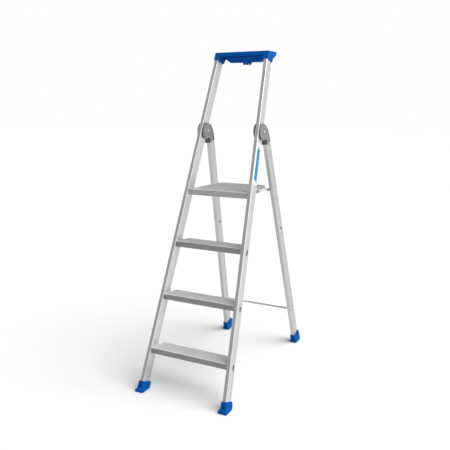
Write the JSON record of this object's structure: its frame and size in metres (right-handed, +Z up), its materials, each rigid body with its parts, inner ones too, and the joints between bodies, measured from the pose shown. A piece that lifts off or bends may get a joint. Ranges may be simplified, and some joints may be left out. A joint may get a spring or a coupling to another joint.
{
  "type": "step ladder",
  "caption": "Folding aluminium platform step ladder with a D-shaped platform, a moulded tool tray as hand rail and plastic hinges, standing open.",
  "frame": {"origin": "centre of the footprint on the floor, with the ladder standing open", "axes": "+Z up, -Y is the side the user climbs from, +X is the user's right when facing the steps"},
  "size_m": [0.4678, 0.913, 1.505],
  "materials": {
    "stile_aluminium": "extruded mill finish with fine lengthwise lines",
    "step_aluminium": "extruded mill finish with ribs across the tread",
    "deck_aluminium": "rolled aluminium, satin",
    "tray_blue": "moulded polypropylene, satin",
    "foot_blue": "moulded soft plastic, satin",
    "hinge_grey": "glass-filled nylon, fine texture",
    "hinge_dark": "glass-filled nylon, fine texture",
    "label_film": "printed film, smooth",
    "link_steel": "zinc-plated flat bar",
    "spacer_plastic": "moulded nylon",
    "fastener_steel": "zinc-plated steel"
  },
  "bodies": {
    "front_frame": {"left_front_stile": "stile_aluminium", "right_front_stile": "stile_aluminium", "step_1": "step_aluminium", "step_2": "step_aluminium", "step_3": "step_aluminium", "tool_tray": "tray_blue", "tray_screws": "fastener_steel", "left_front_foot": "foot_blue", "right_front_foot": "foot_blue", "foot_screws_front": "fastener_steel", "side_label": "label_film", "hinge_rivets": "fastener_steel", "hinge_sleeves": "fastener_steel", "platform_pivot_rivets": "fastener_steel", "platform_pivot_spacers": "spacer_plastic"},
    "rear_frame": {"left_rear_stile": "stile_aluminium", "right_rear_stile": "stile_aluminium", "rear_cross_rod": "fastener_steel", "rod_washers": "fastener_steel", "left_rear_foot": "foot_blue", "right_rear_foot": "foot_blue", "foot_screws_rear": "fastener_steel", "left_hinge_core": "hinge_dark", "right_hinge_core": "hinge_dark", "left_hinge_inner_cheek": "hinge_grey", "left_hinge_outer_cheek": "hinge_grey", "right_hinge_inner_cheek": "hinge_grey", "right_hinge_outer_cheek": "hinge_grey", "link_pivot_rivets": "fastener_steel", "link_pivot_spacers": "spacer_plastic"},
    "platform": {"platform_deck": "deck_aluminium", "left_platform_rail": "deck_aluminium", "right_platform_rail": "deck_aluminium", "deck_rivets": "fastener_steel", "link_stops": "spacer_plastic"},
    "left_link_arm": {"left_link": "link_steel", "left_link_rivet": "fastener_steel"},
    "right_link_arm": {"right_link": "link_steel", "right_link_rivet": "fastener_steel"}
  },
  "joints": [
    {"name": "rear_fold", "type": "hinge", "parent": "front_frame", "child": "rear_frame", "pos_m": [0, 0.054, 1.14], "axis": [-1, 0, 0], "range_deg": [0, 36]},
    {"name": "platform_tilt", "type": "hinge", "parent": "front_frame", "child": "platform", "pos_m": [0, -0.058, 0.864], "axis": [1, 0, 0], "range_deg": [0, 67.6]},
    {"name": "left_link_swing", "type": "hinge", "parent": "rear_frame", "child": "left_link_arm", "pos_m": [-0.144, 0.186, 0.856], "axis": [-1, 0, 0], "range_deg": [0, 44.6]},
    {"name": "right_link_swing", "type": "hinge", "parent": "rear_frame", "child": "right_link_arm", "pos_m": [0.144, 0.186, 0.856], "axis": [-1, 0, 0], "range_deg": [0, 44.6]}
  ],
  "couplings": [
    {"joint": "platform_tilt", "follows": "rear_fold", "ratio": 1.8777},
    {"joint": "left_link_swing", "follows": "rear_fold", "ratio": 1.2388},
    {"joint": "right_link_swing", "follows": "rear_fold", "ratio": 1.2388}
  ]
}
